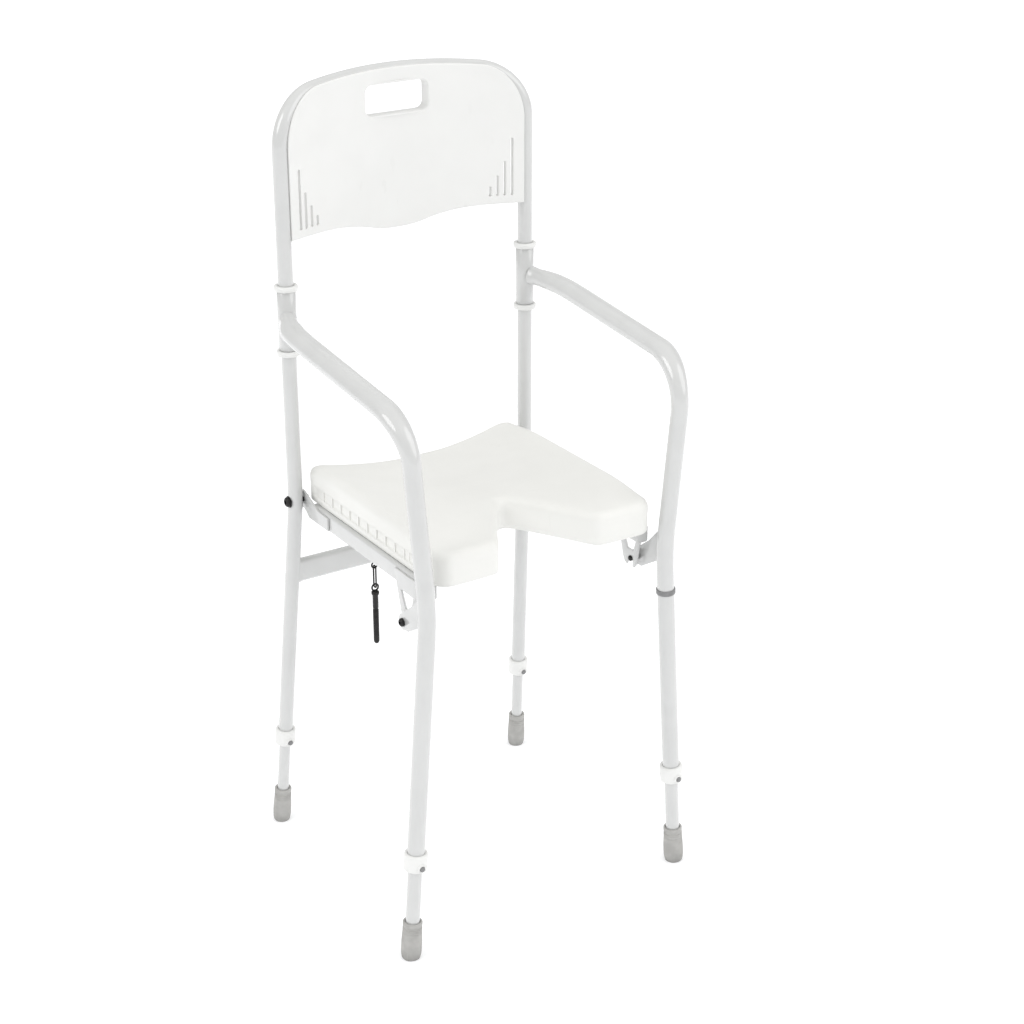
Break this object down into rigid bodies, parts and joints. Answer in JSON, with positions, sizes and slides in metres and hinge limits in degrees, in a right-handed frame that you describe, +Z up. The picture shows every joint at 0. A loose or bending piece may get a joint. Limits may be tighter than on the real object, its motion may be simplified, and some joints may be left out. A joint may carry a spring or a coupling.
{
  "type": "shower chair",
  "caption": "White shower chair with armrests, moulded back panel in a tube hoop, tip-up seat with a front recess, and height-adjustable splayed legs on rubber feet.",
  "frame": {"origin": "on the floor under the middle of the chair", "axes": "+Z up, +Y towards the back; the sitter faces -Y, so -X is the sitter's right"},
  "size_m": [0.4956, 0.4645, 1.1797],
  "materials": {
    "white_coat": "glossy white powder coat on steel tube",
    "white_plastic": "satin moulded white plastic",
    "seat_plastic": "fine-textured warm white moulded plastic",
    "black_steel": "black oxide steel",
    "dark_plastic": "dark grey plastic",
    "grey_rubber": "matte grey rubber",
    "zinc": "zinc-plated fasteners"
  },
  "bodies": {
    "frame": {"arm_leg_tube_left": "white_coat", "arm_leg_tube_right": "white_coat", "arm_sleeve_left": "white_coat", "arm_sleeve_right": "white_coat", "back_hoop_tube": "white_coat", "back_panel": "white_plastic", "front_bolt_left": "black_steel", "front_bolt_right": "black_steel", "front_bracket_left": "white_coat", "front_bracket_right": "white_coat", "front_leg_collar_left": "white_plastic", "front_leg_collar_right": "white_plastic", "hinge_bolt_left": "black_steel", "hinge_bolt_right": "black_steel", "hinge_nut_left": "zinc", "hinge_nut_right": "zinc", "leg_stop_ring_left": "dark_plastic", "panel_screw_left_1": "zinc", "panel_screw_left_2": "zinc", "panel_screw_right_1": "zinc", "panel_screw_right_2": "zinc", "rear_crossbar": "white_coat", "rear_leg_collar_left": "white_plastic", "rear_leg_collar_right": "white_plastic", "rear_leg_tube_left": "white_coat", "rear_leg_tube_right": "white_coat", "sleeve_collar_lower_left": "white_plastic", "sleeve_collar_lower_right": "white_plastic", "sleeve_collar_upper_left": "white_plastic", "sleeve_collar_upper_right": "white_plastic"},
    "seat": {"seat_shell": "seat_plastic", "pin_eye": "black_steel", "seat_rail_right": "white_coat", "hinge_plate_right": "white_coat", "seat_hanger_right": "white_coat", "seat_rail_left": "white_coat", "hinge_plate_left": "white_coat", "seat_hanger_left": "white_coat", "seat_screw_right_1": "zinc", "seat_screw_right_2": "zinc", "seat_screw_left_1": "zinc", "seat_screw_left_2": "zinc"},
    "pin_link": {"pin_link": "black_steel"},
    "locking_pin": {"locking_pin": "black_steel"},
    "front_leg_right": {"front_inner_leg_right": "white_coat", "front_ferrule_right": "grey_rubber"},
    "front_button_right": {"front_leg_button_right": "dark_plastic"},
    "front_leg_left": {"front_inner_leg_left": "white_coat", "front_ferrule_left": "grey_rubber"},
    "front_button_left": {"front_leg_button_left": "dark_plastic"},
    "rear_leg_right": {"rear_inner_leg_right": "white_coat", "rear_ferrule_right": "grey_rubber"},
    "rear_button_right": {"rear_leg_button_right": "dark_plastic"},
    "rear_leg_left": {"rear_inner_leg_left": "white_coat", "rear_ferrule_left": "grey_rubber"},
    "rear_button_left": {"rear_leg_button_left": "dark_plastic"}
  },
  "joints": [
    {"name": "seat_tip", "type": "hinge", "parent": "frame", "child": "seat", "pos_m": [0, 0.158, 0.567], "axis": [-1, 0, 0], "range_deg": [0, 86]},
    {"name": "pin_link_swing", "type": "hinge", "parent": "seat", "child": "pin_link", "pos_m": [-0.176, -0.034, 0.5276], "axis": [1, 0, 0], "range_deg": [-35, 35]},
    {"name": "locking_pin_swing", "type": "hinge", "parent": "pin_link", "child": "locking_pin", "pos_m": [-0.176, -0.034, 0.4972], "axis": [0, 1, 0], "range_deg": [-45, 45]},
    {"name": "front_leg_right_slide", "type": "slide", "parent": "frame", "child": "front_leg_right", "axis": [0.0699, -0.0019, 0.9976], "range_m": [-0.1, 0]},
    {"name": "front_button_right_press", "type": "slide", "parent": "frame", "child": "front_button_right", "axis": [0.0001, 1, 0.0019], "range_m": [0, 0.003], "stiffness_N_per_m": 900},
    {"name": "front_leg_left_slide", "type": "slide", "parent": "frame", "child": "front_leg_left", "axis": [-0.0699, -0.0019, 0.9976], "range_m": [-0.1, 0]},
    {"name": "front_button_left_press", "type": "slide", "parent": "frame", "child": "front_button_left", "axis": [-0.0001, 1, 0.0019], "range_m": [0, 0.003], "stiffness_N_per_m": 900},
    {"name": "rear_leg_right_slide", "type": "slide", "parent": "frame", "child": "rear_leg_right", "axis": [0.0382, -0.1008, 0.9942], "range_m": [-0.1, 0]},
    {"name": "rear_button_right_press", "type": "slide", "parent": "frame", "child": "rear_button_right", "axis": [0.0019, 0.9949, 0.1008], "range_m": [0, 0.003], "stiffness_N_per_m": 900},
    {"name": "rear_leg_left_slide", "type": "slide", "parent": "frame", "child": "rear_leg_left", "axis": [-0.0382, -0.1008, 0.9942], "range_m": [-0.1, 0]},
    {"name": "rear_button_left_press", "type": "slide", "parent": "frame", "child": "rear_button_left", "axis": [-0.0019, 0.9949, 0.1008], "range_m": [0, 0.003], "stiffness_N_per_m": 900}
  ]
}
